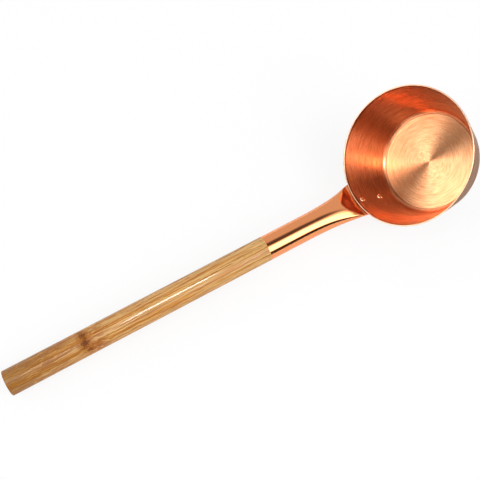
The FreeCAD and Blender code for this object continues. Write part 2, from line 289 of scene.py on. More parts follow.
def finished_piece(name, form, placement):
    """Object of a form that is set in its place, smooth but for its sharp edges."""
    mesh = bpy.data.meshes.new(name)
    bmesh.ops.recalc_face_normals(form, faces=form.faces)
    form.to_mesh(mesh)
    form.free()
    mesh.transform(placement)
    mesh.shade_smooth()
    mesh.set_sharp_from_angle(angle=CREASE)
    piece = bpy.data.objects.new(name, mesh)
    bpy.context.scene.collection.objects.link(piece)
    return piece


def turned_piece(name, outline, count, placement):
    """Closed piece turned round Z from (radius, height) points that start and end on the axis."""
    form = bmesh.new()
    rings = [ring_of_points(form, radius, height, count) for radius, height in outline]
    join_rings(form, rings, count)
    return finished_piece(name, form, placement)


def fit_piece(piece, material, slot, *nodes):
    """Puts the finish on a piece and sets it in the place of its CAD nodes."""
    piece.data.materials.clear()
    piece.data.materials.append(material)
    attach(piece, BODY)
    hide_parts(*nodes)


class Layout:
    """Lines and angles of the ladle that more than one piece shares, in its own frame."""

    def __init__(self, sizes):
        rise = sizes.handle_rise
        self.sizes = sizes
        self.rim_radius = sizes.rim_diameter / 2
        self.base_radius = sizes.base_diameter / 2
        self.taper = math.atan2(self.rim_radius - self.base_radius, sizes.bowl_height)
        self.down_wall = Vector((math.sin(self.taper), 0, -math.cos(self.taper)))
        self.into_bowl = Vector((math.cos(self.taper), 0, math.sin(self.taper)))
        self.up_handle = Vector((-math.cos(rise), 0, math.sin(rise)))
        self.above_handle = Vector((math.sin(rise), 0, math.cos(rise)))
        self.rim_edge = Vector((-self.rim_radius, 0, sizes.bowl_height))
        self.plate_thickness = 2 * sizes.tube_wall
        self.plate_middle = sizes.plate_gap + self.plate_thickness / 2
        self.bend_turn = math.pi / 2 - rise - self.taper
        self.bend_tangent = sizes.bend_radius * math.tan(self.bend_turn / 2)
        self.bend_corner = (
            self.rim_edge - self.into_bowl * self.plate_middle + self.down_wall * sizes.bend_below_rim
        )

    def pressed_width(self, thickness):
        """Width of the tube when it is pressed to a thickness; the way round it stays the same."""
        return thickness + math.pi * (self.sizes.tube_diameter - thickness) / 2

    def wall_radius(self, drop):
        """Radius of curvature of the bowl's outside at a drop below the rim."""
        return (self.rim_radius - drop * math.sin(self.taper)) / math.cos(self.taper)

    def centre_line(self, travel):
        """Point, upward normal and curve radius of the bowl beside the tube's centre line."""
        sizes = self.sizes
        straight = sizes.tube_length - self.bend_tangent
        if travel <= straight:
            point = self.bend_corner + self.up_handle * (sizes.tube_length - travel)
            return point, self.above_handle, self.wall_radius(0)
        turned = min((travel - straight) / sizes.bend_radius, self.bend_turn)
        centre = (
            self.bend_corner + self.up_handle * self.bend_tangent
            - self.above_handle * sizes.bend_radius
        )
        normal = Matrix.Rotation(turned, 3, "Y") @ self.above_handle
        beyond = travel - straight - sizes.bend_radius * turned
        point = centre + normal * sizes.bend_radius + self.down_wall * beyond
        drop = sizes.bend_below_rim + self.bend_tangent + beyond
        return point, normal, self.wall_radius(drop)

    def pressed_at(self, distance):
        """How far the tube is pressed at a distance before its bend, from 0 to 1 for flat."""
        return share_left(distance, self.sizes.flatten_length) ** PRESS_POWER

    def thickness_at(self, distance):
        """Thickness of the tube at a distance before its bend."""
        round_thickness = self.sizes.tube_diameter
        return round_thickness + (self.plate_thickness - round_thickness) * self.pressed_at(distance)

    def below_hollow(self, level, distance, inset):
        """The level on the tube's swollen top, lowered where the hollow is pressed into it."""
        sizes = self.sizes
        swell = share_left(distance - sizes.hollow_length, sizes.swell_length - sizes.hollow_length)
        level *= 1 + 2 * sizes.swell_rise * swell ** SWELL_POWER / self.thickness_at(distance)
        along = max(distance - sizes.hollow_end, 0) / (sizes.hollow_length - sizes.hollow_end)
        flat = self.plate_thickness / 2
        crown = self.thickness_at(sizes.hollow_length) / 2 + sizes.swell_rise
        floor = flat + (crown - flat) * along ** HOLLOW_POWER - inset
        grown = min(EDGE_GROWTH * along, 1)
        edge = sizes.hollow_edge * grown + TINY
        near = max(edge - abs(level - floor), 0) / edge
        return min(level, floor) - near ** 2 * edge / 4 * grown

    def half_section(self, distance, inset):
        """Side and level of the points round half of the tube: one round side and the crown."""
        thickness = self.thickness_at(distance)
        width = self.pressed_width(thickness)
        fullness = ROUND_FULLNESS * (1 - self.pressed_at(distance))
        outer_radius = (thickness - fullness * width) / 2 / (1 - fullness)
        side_middle = width / 2 - outer_radius
        side_radius = outer_radius - inset
        side_reach = math.pi / 2 - 2 * math.atan(fullness)
        joint_side = side_middle + side_radius * math.cos(side_reach)
        top = thickness / 2 - inset
        crown = top - side_radius * math.sin(side_reach)
        crown_reach = max(2 * math.atan(crown / joint_side), FLATTEST_CROWN)
        half = []
        for step in range(TUBE_QUARTER):
            angle = side_reach * (2 * step / TUBE_QUARTER - 1)
            half.append((side_middle + side_radius * math.cos(angle), side_radius * math.sin(angle)))
        for step in range(TUBE_QUARTER):
            angle = crown_reach * (1 - 2 * step / TUBE_QUARTER)
            fall = (1 - math.cos(angle)) / (1 - math.cos(crown_reach))
            half.append((joint_side * math.sin(angle) / math.sin(crown_reach), top - crown * fall))
        return half

    def tube_section(self, travel, inset=0):
        """Points round the tube at a travel from its open end, inward by the inset."""
        distance = max(self.sizes.tube_length - travel, 0)
        point, normal, bowl_radius = self.centre_line(travel)
        bow = share_left(distance, self.sizes.bow_length) ** BOW_POWER
        half = self.half_section(distance, inset)
        places = []
        for turn in (1, -1):
            for side, level in half:
                side *= turn
                level *= turn
                if level > 0 and distance < self.sizes.swell_length:
                    level = max(self.below_hollow(level, distance, inset), 0)
                lift = level + bow * arch(bowl_radius, side)
                places.append(point + Vector((0, side, 0)) + normal * lift)
        return places

    def tip_section(self, travel, narrow):
        """Points round the flat end, drawn together sideways to a share of its width."""
        point, normal, bowl_radius = self.centre_line(travel)
        places = []
        for place in self.tube_section(travel):
            offset = place - point
            level = offset.dot(normal) - arch(bowl_radius, offset.y)
            side = offset.y * narrow
            lift = level + arch(bowl_radius, side)
            places.append(point + Vector((0, side, 0)) + normal * lift)
        return places


# Finishes

# Inputs of the Mix node when it mixes colours, and its result
MIX_INPUTS = (0, 6, 7)
MIX_RESULT = 2

# Brush lines of the bowl: changes to a metre across them, and how often they change round it
FINE_RINGS = (2300, 3, 3)
BROAD_RINGS = (1150, 3, 3)
SHORT_RINGS = (1000, 11, 11)
RING_ROUGHNESS = 0.55
# The floor's paler copper, partly a painted reflection, fades in from just outside the floor's radius to
# just inside it
FLOOR_EDGE = (0.0004, -0.0002)
# Painted shade in the corner round the floor, a dark line: how far outside the floor it lies, and its faint
# and dark reach
CORNER_SHADE_PLACE = 0.0005
CORNER_SHADE_REACH = (0.0004, 0.0001)
# Painted shade just inside the rim, a dark line: how far below the rim it starts and is full
RIM_SHADE = (0.0025, 0.0011)
# Fine lines of the other coppers, in changes to a metre along each way
TURNING_LINES = (900, 60, 60)
POLISHING_LINES = (60, 900, 900)
# Colour that the dull copper takes at a grazing angle
DULL_TINT = (0.55, 0.42, 0.34, 1)
# Roughness of the polished coppers
TUBE_POLISH = 0.07
HOLLOW_POLISH = 0.15
RIVET_POLISH = 0.13

# Nodes of the bamboo: way from the joint, and angle round the grip of the side where its
# fibres are wild, in degrees
NODES = (
    (0.162, 148.0),
    (0.061, 14.0),
)
# Knots of the nodes: angle round the grip in degrees, way from the joint, half their width
# across and along the fibres, and how dark they are
KNOTS = (
    (-165.5, 0.1621, 0.0019, 0.0026, 0.85),
    (158.0, 0.1624, 0.0022, 0.0030, 1.0),
    (121.0, 0.1608, 0.0013, 0.0024, 0.8),
    (-143.0, 0.1626, 0.0020, 0.0022, 0.45),
    (178.0, 0.1612, 0.0020, 0.0016, 0.7),
    (139.0, 0.1640, 0.0010, 0.0030, 0.45),
    (-12.0, 0.0612, 0.0018, 0.0026, 0.75),
    (14.0, 0.0606, 0.0013, 0.0022, 0.6),
    (41.0, 0.0615, 0.0020, 0.0028, 0.8),
)
# How far the fibres wander sideways: everywhere, in long bends, and beside a node
FIBRE_WANDER = 0.0008
FIBRE_BEND = 0.0016
NODE_WANDER = 0.0050
# How far round the grip a node's wild side reaches, as cosines of the angle from its middle
NODE_SIDE = (0.35, 0.75)
# Ways from a node: where its fibres are wild, which side flares, and how far the flare reaches
NODE_CLOSE = (0.012, 0.002)
FLARE_SIDE = (0.0015, -0.0015)
FLARE_REACH = (-0.026, -0.004)
# A knot's ragged edge, and where its halo and its core are faint and full, in squared widths
KNOT_RAGGED = 7.0
HALO_REACH = (8.0, 0.5)
CORE_REACH = (1.8, 0.5)
# Past the last node: where the dashes are faint and full again, how much they cover, how much
# the fibres wander there, and where the wood starts to darken
DASHES_START = (0.166, 0.184)
DASHES_COVER = 0.65
DASHES_WANDER = 0.25
DARKENING_START = 0.155
# The brown edge of the end: how far before the end it starts and is full
END_EDGE = (0.0016, 0.0004)
VARNISH_TINT = (0.94, 0.86, 0.74, 1)


class Finish:
    """Nodes of a material or of the world, with short calls for the usual steps."""

    def __init__(self, owner):
        owner.use_nodes = True
        self.nodes = owner.node_tree.nodes
        self.links = owner.node_tree.links
        self.nodes.clear()

    def step(self, kind, inputs=(), **settings):
        """New node with its settings, and its inputs fed from values or from other nodes."""
        node = self.nodes.new("ShaderNode" + kind)
        for name, value in settings.items():
            setattr(node, name, value)
        for name, value in dict(inputs).items():
            self.feed(node.inputs[name], value)
        return node

    def feed(self, socket, value):
        """Links the socket to another node's output, or sets its value."""
        if isinstance(value, bpy.types.NodeSocket):
            self.links.new(value, socket)
        else:
            socket.default_value = value

    def reckon(self, operation, *values, kind="Math"):
        """Result of one step of arithmetic."""
        node = self.step(kind, operation=operation)
        for socket, value in zip(node.inputs, values):
            self.feed(socket, value)
        return node.outputs[0]

    def times(self, value, factor):
        """Product of two values."""
        return self.reckon("MULTIPLY", value, factor)

    def largest(self, first, *others):
        """Largest of some values."""
        result = first
        for value in others:
            result = self.reckon("MAXIMUM", result, value)
        return result

    def place(self, own_frame):
        """X, Y and Z of the surface in the piece's own frame."""
        where = self.step("TexCoord").outputs["Object"]
        inputs = {"Vector": where, "Location": own_frame.translation}
        inputs["Rotation"] = own_frame.to_euler()
        own = self.step("Mapping", inputs, vector_type="TEXTURE").outputs[0]
        return self.step("SeparateXYZ", {"Vector": own}).outputs

    def from_axis(self, x, y):
        """Distance of the surface from the frame's Z axis."""
        return self.reckon("SQRT", self.reckon("ADD", self.times(x, x), self.times(y, y)))

    def round_axis(self, own_frame):
        """Direction along the brush lines, which run round the frame's Z axis."""
        where = self.step("TexCoord").outputs["Object"]
        axis = own_frame.col[2].to_3d()
        offset = self.reckon("SUBTRACT", where, own_frame.translation, kind="VectorMath")
        around = self.reckon("CROSS_PRODUCT", axis, offset, kind="VectorMath")
        return self.reckon("NORMALIZE", around, kind="VectorMath")

    def even_noise(self, place, scale, detail=2, roughness=0.5):
        """Soft noise with the same number of changes to a metre every way."""
        point = self.step("CombineXYZ", zip("XYZ", place)).outputs[0]
        inputs = {"Vector": point, "Scale": scale, "Detail": detail, "Roughness": roughness}
        return self.step("TexNoise", inputs).outputs[0]

    def noise(self, place, scales, detail=2, roughness=0.5):
        """Soft noise with its own number of changes to a metre along each way."""
        parts = [self.times(value, scale) for value, scale in zip(place, scales)]
        return self.even_noise(parts, 1, detail, roughness)

    def spread(self, value, low, high, new_low=0, new_high=1, smooth=False):
        """The value's range from low to high stretched onto a new range, and held there."""
        inputs = {"Value": value, "From Min": low, "From Max": high}
        inputs.update({"To Min": new_low, "To Max": new_high})
        kind = "SMOOTHSTEP" if smooth else "LINEAR"
        return self.step("MapRange", inputs, interpolation_type=kind).outputs[0]

    def mix(self, share, first, second):
        """Colour between two others."""
        node = self.step("Mix", data_type="RGBA")
        for index, value in zip(MIX_INPUTS, (share, first, second)):
            socket = node.inputs[index]
            if socket.type == "RGBA" and not isinstance(value, bpy.types.NodeSocket):
                value = (*value, 1)
            self.feed(socket, value)
        return node.outputs[MIX_RESULT]

    def seen(self, path):
        """1 for the camera and for what is mirrored or looked through, 0 for light."""
        rays = [path["Is " + kind + " Ray"] for kind in ("Camera", "Glossy", "Transmission")]
        return self.largest(*rays)

    def bump(self, height, strength, depth):
        """Normal of the surface with its fine relief."""
        inputs = {"Height": height, "Strength": strength, "Distance": depth}
        return self.step("Bump", inputs).outputs[0]

    def show(self, kind, inputs, output="OutputMaterial"):
        """Ends in a shader and shows it."""
        shader = self.step(kind, inputs)
        self.step(output, {"Surface": shader.outputs[0]})


def brushed_copper(colours, floor_radius, bowl_height):
    """Copper with brush lines round the bowl's axis, paler on its floor than on its wall: the floor's paler
    copper is partly a painted reflection of the bright panel above it, and the wall's deeper copper is
    partly painted shade.
    """
    material = bpy.data.materials.new("brushed_copper")
    finish = Finish(material)
    x, y, z = finish.place(LADLE_FRAME)
    radius = finish.from_axis(x, y)
    way = finish.reckon("ADD", radius, z)
    rings = (way, finish.reckon("DIVIDE", x, radius), finish.reckon("DIVIDE", y, radius))
    fine = finish.noise(rings, FINE_RINGS, 1, RING_ROUGHNESS)
    broad = finish.noise(rings, BROAD_RINGS, 1, RING_ROUGHNESS)
    short = finish.noise(rings, SHORT_RINGS, 1, RING_ROUGHNESS)
    lines = finish.reckon("ADD", finish.times(fine, 0.5), finish.times(broad, 0.5))

    # Paler copper on the floor, which has its own brushing with a painted reflection of the bright panel
    # over it; deeper copper on the wall as painted shade; and on the wall alone some short rough strokes
    outside, inside = (floor_radius + offset for offset in FLOOR_EDGE)
    on_floor = finish.spread(radius, outside, inside, smooth=True)
    on_wall = finish.reckon("SUBTRACT", 1, on_floor)
    clean_sheen_and_shade = finish.mix(on_floor, colours.wall_copper_and_shade, colours.floor_copper_and_sheen)
    deep = finish.mix(on_floor, colours.copper_deep, colours.floor_lines)
    tone = finish.mix(finish.spread(lines, 0.44, 0.62), clean_sheen_and_shade, deep)
    strokes = finish.times(finish.spread(short, 0.52, 0.66, 0, 0.5), on_wall)
    tone = finish.mix(strokes, tone, deep)

    # Painted shade: dark lines in the corner round the floor and just inside the rim
    from_corner_shade = finish.reckon("SUBTRACT", radius, floor_radius + CORNER_SHADE_PLACE)
    from_corner_shade = finish.reckon("ABSOLUTE", from_corner_shade)
    corner_shade = finish.spread(from_corner_shade, *CORNER_SHADE_REACH, 0, 0.8, smooth=True)
    tone = finish.mix(corner_shade, tone, colours.copper_painted_shade)
    shade_start, shade_full = (bowl_height - drop for drop in RIM_SHADE)
    rim_shade = finish.spread(z, shade_start, shade_full, 0, 0.9, smooth=True)
    tone = finish.mix(rim_shade, tone, colours.copper_painted_shade)

    finish.show("BsdfPrincipled", {
        "Base Color": tone,
        "Metallic": 1.0,
        "Roughness": finish.spread(lines, 0.3, 0.7, 0.25, 0.33),
        "Anisotropic": 0.95,
        "Anisotropic Rotation": 0.25,
        "Normal": finish.bump(lines, 0.08, 0.0001),
        "Tangent": finish.round_axis(LADLE_FRAME),
    })
    return material


def satin_copper(colours, name, main):
    """Duller copper of the bowl's outside and of its cut edge, with faint turning lines; the outside's
    colour also carries painted shade, and the edge's a painted highlight.
    """
    material = bpy.data.materials.new(name)
    finish = Finish(material)
    x, y, z = finish.place(LADLE_FRAME)
    way = finish.reckon("ADD", finish.from_axis(x, y), z)
    lines = finish.noise((way, x, y), TURNING_LINES, 3, 0.6)
    clouds = finish.even_noise((x, y, z), 60, 3, 0.6)
    tone = finish.mix(finish.spread(lines, 0.42, 0.72, 0, 0.3), main, colours.copper_deep)
    tone = finish.mix(finish.spread(clouds, 0.45, 0.75, 0, 0.2), tone, colours.copper_deep)
    finish.show("BsdfPrincipled", {
        "Base Color": tone,
        "Metallic": 1.0,
        "Roughness": finish.spread(clouds, 0.3, 0.7, 0.22, 0.32),
        "Normal": finish.bump(lines, 0.1, 0.0001),
        "Specular Tint": DULL_TINT,
    })
    return material


def polished_copper(colours, name, main, roughness):
    """Mirror-polished copper with faint polishing lines along the ladle."""
    material = bpy.data.materials.new(name)
    finish = Finish(material)
    place = finish.place(LADLE_FRAME)
    lines = finish.noise(place, POLISHING_LINES)
    clouds = finish.even_noise(place, 90, 3)
    finish.show("BsdfPrincipled", {
        "Base Color": finish.mix(finish.spread(lines, 0.45, 0.75, 0, 0.12), main, colours.copper_deep),
        "Metallic": 1.0,
        "Roughness": finish.reckon("ADD", finish.spread(clouds, 0.3, 0.7, 0, 0.04), roughness),
        "Normal": finish.bump(lines, 0.03, 0.00005),
    })
    return material


def beside_nodes(finish, place, radius):
    """How near the surface is to a node, and to the fibres that flare on one side of it."""
    x, y, z = place
    near = []
    flare = []
    for height, angle in NODES:
        turn = math.radians(angle)
        facing_x = finish.times(x, math.cos(turn) / radius)
        facing_y = finish.times(y, math.sin(turn) / radius)
        side = finish.spread(finish.reckon("ADD", facing_x, facing_y), *NODE_SIDE, smooth=True)
        offset = finish.reckon("SUBTRACT", z, height)
        close = finish.spread(finish.reckon("ABSOLUTE", offset), *NODE_CLOSE, smooth=True)
        before = finish.spread(offset, *FLARE_SIDE)
        reached = finish.spread(offset, *FLARE_REACH, smooth=True)
        near.append(finish.times(close, side))
        flare.append(finish.times(finish.times(before, reached), side))
    return finish.largest(*near), finish.largest(*flare)


def knot_spots(finish, place, radius):
    """Brown halo and dark core of the knots, from 0 to 1."""
    ragged = finish.reckon("SUBTRACT", finish.even_noise(place, 900, 3, 0.7), 0.5)
    ragged = finish.times(ragged, KNOT_RAGGED)
    halo = []
    core = []
    for angle, height, across, along, darkness in KNOTS:
        turn = math.radians(angle)
        middle = (radius * math.cos(turn), radius * math.sin(turn), height)
        away = ragged
        for value, centre, reach in zip(place, middle, (across, across, along)):
            offset = finish.reckon("DIVIDE", finish.reckon("SUBTRACT", value, centre), reach)
            away = finish.reckon("ADD", away, finish.times(offset, offset))
        halo.append(finish.spread(away, *HALO_REACH, 0, darkness, smooth=True))
        core.append(finish.spread(away, *CORE_REACH, 0, darkness, smooth=True))
    return finish.largest(*halo), finish.largest(*core)


def varnished_bamboo(colours, own_frame, grip_length):
    """Varnished bamboo: fibres along the grip, pores between them, and nodes with their knots."""
    material = bpy.data.materials.new("varnished_bamboo")
    finish = Finish(material)
    place = finish.place(own_frame)
    x, y, z = place
    radius = GRIP_WIDTH / 2
    near, flare = beside_nodes(finish, place, radius)
    halo, core = knot_spots(finish, place, radius)
    beyond = finish.spread(z, *DASHES_START, smooth=True)
    dashed = finish.largest(flare, finish.times(beyond, DASHES_COVER))

    # The fibres wander everywhere, and most beside a node
    waves = finish.largest(near, flare, finish.times(beyond, DASHES_WANDER))
    wander = finish.reckon("SUBTRACT", finish.even_noise(place, 170), 0.5)
    bend = finish.reckon("SUBTRACT", finish.even_noise(place, 48), 0.5)
    push = finish.reckon("ADD", finish.times(waves, NODE_WANDER), FIBRE_WANDER)
    push = finish.reckon("ADD", finish.times(push, wander), finish.times(bend, FIBRE_BEND))
    pushed = (finish.reckon("ADD", x, push), finish.reckon("ADD", y, push), z)

    def strands(across, along, roughness=0.5):
        """Noise drawn out along the fibres, in changes to a metre across and along them."""
        return finish.noise(pushed, (across, across, along), 2, roughness)

    # Strands over the palest wood: where they begin and are full, how much they cover, colour
    fibres = strands(1050, 24, 0.6)
    pores = strands(1500, 60)
    bands = strands(500, 10)
    layers = (
        (strands(150, 4), 0.40, 0.60, 1.0, colours.bamboo),
        (bands, 0.46, 0.58, 0.9, colours.bamboo_warm),
        (strands(1000, 34), 0.53, 0.63, 0.85, colours.bamboo_pale),
        (fibres, 0.50, 0.60, 0.9, colours.bamboo_fibre),
        (pores, 0.54, 0.66, 0.5, colours.bamboo_fibre),
    )
    tone = colours.bamboo_pale
    for strand, begin, full, cover, shade in layers:
        tone = finish.mix(finish.spread(strand, begin, full, 0, cover), tone, shade)

    # Dashes and brown wood at the nodes, their knots, and the darker end with its edge
    dashes = finish.times(finish.spread(strands(620, 70, 0.6), 0.44, 0.52), dashed)
    edge_start, edge_full = (grip_length - way for way in END_EDGE)
    marks = (
        (finish.times(dashes, 0.9), colours.bamboo_flare),
        (finish.times(near, 0.5), colours.bamboo_fibre),
        (finish.times(halo, 0.75), colours.bamboo_halo),
        (core, colours.bamboo_knot),
        (finish.spread(z, DARKENING_START, grip_length, 0, 0.60), colours.bamboo_end),
        (finish.spread(z, edge_start, edge_full, 0, 0.6), colours.bamboo_halo),
    )
    for share, shade in marks:
        tone = finish.mix(share, tone, shade)

    # The varnish is thinner over the knots; where the surface turns away its gloss is cut, so that the
    # grip's edges stay dark as painted shade
    relief = finish.reckon("ADD", fibres, finish.times(pores, 0.5))
    grazing = finish.step("LayerWeight", {"Blend": 0.5}).outputs["Facing"]
    varnish_and_edge_shade = finish.spread(grazing, 0.55, 0.95, 0.6, 0.05, smooth=True)
    varnish_and_edge_shade = finish.times(varnish_and_edge_shade, finish.spread(halo, 0, 1, 1, 0.15))
    finish.show("BsdfPrincipled", {
        "Base Color": tone,
        "Roughness": finish.spread(bands, 0.3, 0.7, 0.45, 0.58),
        "Normal": finish.bump(relief, 0.10, 0.0001),
        "IOR": 1.4,
        "Specular IOR Level": 0.06,
        "Coat Weight": varnish_and_edge_shade,
        "Coat Roughness": 0.085,
        "Coat Tint": VARNISH_TINT,
    })
    return material


# Operators, one for each piece or group of like pieces and one for the stage


class LADLE_OT_bowl(bpy.types.Operator):
    """Turns the drawn copper bowl from one outline"""

    bl_idname = "ladle.bowl"
    bl_label = "Bowl"

    def execute(self, context):
        sizes = context.scene.ladle_sizes
        colours = context.scene.ladle_colours
        layout = Layout(sizes)
        sheet = sizes.sheet_thickness
        slant = sheet / math.cos(layout.taper)
        inner_base = layout.base_radius + sheet * math.tan(layout.taper) - slant
        inner_rounding = sizes.base_rounding - sheet
        outline = rounded((
            (0, 0, 0),
            (layout.base_radius, 0, sizes.base_rounding),
            (layout.rim_radius, sizes.bowl_height, sizes.rim_rounding),
            (layout.rim_radius - slant, sizes.bowl_height, sizes.rim_rounding),
            (inner_base, sheet, inner_rounding),
            (0, sheet, 0),
        ), steps=8)
        piece = turned_piece("drawn_bowl", subdivided(outline, BOWL_RUN), BOWL_POINTS, LADLE_FRAME)
        floor_radius = inner_base - inner_rounding * math.tan((math.pi / 2 - layout.taper) / 2)
        fit_piece(piece, brushed_copper(colours, floor_radius, sizes.bowl_height), "brushed_copper", "bowl")
        piece.data.materials.append(satin_copper(colours, "outside_copper_and_shade", colours.copper_outside_and_shade))
        piece.data.materials.append(satin_copper(colours, "edge_copper_and_highlight", colours.copper_edge_and_highlight))
        self.dress_outside(piece, sizes.bowl_height - sizes.rim_rounding)
        return {"FINISHED"}

    def dress_outside(self, piece, rim_edge):
        """Gives the faces of the bowl's outside and of its cut edge their own copper: painted shade on the
        outside, a painted highlight on the edge.
        """
        into_own = LADLE_FRAME.inverted()
        for face in piece.data.polygons:
            middle = into_own @ face.center
            outward = into_own.to_3x3() @ face.normal
            if middle.z > rim_edge:
                face.material_index = 2
            elif outward.z < LOOKS_DOWN and middle.xy.dot(outward.xy) > LOOKS_INWARD:
                face.material_index = 1


class LADLE_OT_tube(bpy.types.Operator):
    """Forms the copper tube that holds the grip and is pressed flat onto the bowl's wall"""

    bl_idname = "ladle.tube"
    bl_label = "Copper tube"

    def execute(self, context):
        sizes = context.scene.ladle_sizes
        colours = context.scene.ladle_colours
        layout = Layout(sizes)
        round_end = sizes.tube_length - sizes.flatten_length
        hollow_start = sizes.tube_length - HOLLOW_LEAD * sizes.hollow_length
        bend_start = sizes.tube_length - layout.bend_tangent
        bend_end = bend_start + sizes.bend_radius * layout.bend_turn
        tip_radius = layout.pressed_width(layout.plate_thickness) / 2
        tip_start = bend_end + sizes.plate_length - layout.bend_tangent - tip_radius

        # Rings down the outside, from the open end to the round tip
        before = [0, round_end] + steps_between(round_end, hollow_start, PRESSED_RINGS)
        hollowed = steps_between(hollow_start, bend_start, HOLLOW_RINGS)
        after = steps_between(bend_start, bend_end, BEND_RINGS)
        after += steps_between(bend_end, tip_start, PLATE_RINGS)
        travels = before + hollowed + after
        outer = [layout.tube_section(travel) for travel in travels]
        for turn in steps_between(0, math.acos(TIP_WIDTH), TIP_RINGS):
            travel = tip_start + tip_radius * math.sin(turn)
            outer.append(layout.tip_section(travel, math.cos(turn)))

        # Rings up the inside, from where the tube is closed to its open end
        closed = sizes.tube_length - sizes.closed_length
        inner_travels = [0, round_end] + steps_between(round_end, closed, INSIDE_RINGS)
        inner = [layout.tube_section(travel, sizes.tube_wall) for travel in reversed(inner_travels)]

        form = bmesh.new()
        skin = [[form.verts.new(place) for place in ring] for ring in inner + outer]
        join_rings(form, skin, TUBE_POINTS)
        form.faces.new(skin[0])
        form.faces.new(skin[-1])
        piece = finished_piece("copper_tube", form, LADLE_FRAME)
        polished = polished_copper(colours, "polished_copper", colours.copper, TUBE_POLISH)
        fit_piece(piece, polished, "polished_copper", "handle_socket")
        # A darker copy of the polished copper, as painted shade in the hollow
        hollow = polished_copper(colours, "hollow_shade_copper", colours.copper_hollow_shade, HOLLOW_POLISH)
        piece.data.materials.append(hollow)

        # The rings that lie in the hollow, counted along the whole skin
        rings = enumerate(before[-1:] + hollowed, len(inner) + len(before) - 1)
        hollow_from = sizes.tube_length - sizes.hollow_length
        self.paint_hollow_shade(piece, {ring for ring, travel in rings if travel > hollow_from}, layout)
        return {"FINISHED"}

    def paint_hollow_shade(self, piece, rings, layout):
        """Gives the hollow's faces, which lean down the handle, their darker copper: painted shade in the
        pressed hollow.
        """
        down_handle = LADLE_FRAME.to_3x3() @ -layout.up_handle
        for face in piece.data.polygons:
            ring = face.index // TUBE_POINTS
            if ring in rings and face.normal.dot(down_handle) > HOLLOW_LEAN:
                face.material_index = 1


class LADLE_OT_grip(bpy.types.Operator):
    """Turns the bamboo grip with the tenon that goes into the tube"""

    bl_idname = "ladle.grip"
    bl_label = "Bamboo grip"

    def execute(self, context):
        sizes = context.scene.ladle_sizes
        layout = Layout(sizes)
        radius = sizes.grip_diameter / 2
        tenon = sizes.tube_diameter / 2 - sizes.tube_wall - sizes.tenon_gap
        outline = rounded((
            (0, -sizes.tenon_length, 0),
            (tenon, -sizes.tenon_length, sizes.tenon_rounding),
            (tenon, 0, 0),
            (radius, 0, 0),
            (radius, sizes.grip_length, sizes.grip_rounding),
            (0, sizes.grip_length, 0),
        ))
        joint = layout.bend_corner + layout.up_handle * sizes.tube_length
        placement = LADLE_FRAME @ flat_frame(joint, -layout.above_handle, layout.up_handle)
        piece = turned_piece("bamboo_handle", subdivided(outline, GRIP_RUN), GRIP_POINTS, placement)
        material = varnished_bamboo(context.scene.ladle_colours, placement, sizes.grip_length)
        fit_piece(piece, material, "bamboo", "bamboo_grip")
        return {"FINISHED"}


class LADLE_OT_rivets(bpy.types.Operator):
    """Turns the two copper rivets that hold the tube's flat end to the bowl"""

    bl_idname = "ladle.rivets"
    bl_label = "Rivets"

    def execute(self, context):
        sizes = context.scene.ladle_sizes
        colours = context.scene.ladle_colours
        layout = Layout(sizes)
        material = polished_copper(colours, "rivet_copper", colours.copper_rivet, RIVET_POLISH)
        shank = sizes.rivet_diameter / 2
        head = sizes.rivet_head / 2
        outside = -(sizes.plate_gap + layout.plate_thickness)
        inside = sizes.sheet_thickness
        dome = []
        for step in range(DOME_STEPS + 1):
            turn = math.pi / 2 * step / DOME_STEPS
            dome.append((head * math.cos(turn), sizes.rivet_rise * math.sin(turn)))
        outline = [Vector((radius, outside - rise)) for radius, rise in reversed(dome)]
        outline += [Vector((shank, outside)), Vector((shank, inside))]
        outline += [Vector((radius, inside + rise)) for radius, rise in dome]
        drops = {
            "rivet_upper": sizes.rivet_drop,
            "rivet_lower": sizes.rivet_drop + sizes.rivet_spacing,
        }
        for name, drop in drops.items():
            middle = layout.rim_edge + layout.down_wall * drop
            placement = LADLE_FRAME @ flat_frame(middle, layout.down_wall, layout.into_bowl)
            piece = turned_piece(name + "_head", outline, RIVET_POINTS, placement)
            fit_piece(piece, material, "rivet_metal", name)
        return {"FINISHED"}


# The studio: a light tent over the ladle, whose panels and dark cloths the copper mirrors

WHITE = (1, 1, 1, 1)
FLOOR_GREY = (0.9, 0.9, 0.9, 1)
CLOTH_GREY = (0.03, 0.03, 0.03, 1)

# The floor ends inside the tent. It glows by itself, more to the camera than in the copper, so
# that it looks white and still keeps a faint shadow
FLOOR_SIZE = (4.9, 4.9)
FLOOR_SEEN = 0.85
FLOOR_MIRRORED = 0.2
# Strength of the air on the object, where 1 is what the camera sees of it
AIR_STRENGTH = 0.42

# Panels and dark cloths of the light tent, in the order in which they are hung: azimuth and
# elevation of the middle, half width and half height in degrees, softness of the edge, strength
TENT_AREAS = (
    (-134, 14, 41, 43, 0.20, 0.02),
    (-128, 8, 16, 10, 0.60, 2.2),
    (151, 41, 10, 33, 0.24, 0.02),
    (136, 26, 8, 14, 0.30, 3.6),
    (176, 39, 13.5, 19, 0.20, 4.1),
    (-105, 78, 26, 11, 0.30, 3.0),
    (-57, 43, 23, 21, 0.30, 4.4),
    (-93, 52, 9, 9, 0.60, 2.2),
    (-75, 6, 40, 12.5, 0.20, 0.04),
    (50, 86, 33, 14, 0.50, 0.10),
    (15, 14, 17, 24, 0.20, 0.10),
)
# Strength of the tent's bare cloth, and the share of all its light that falls on the object
TENT_CLOTH = 0.76
TENT_DIFFUSE = 0.93
TENT_RADIUS = 3.5
TENT_FOOT = math.radians(-2)
TENT_LEVELS = 60
TENT_TURNS = 160

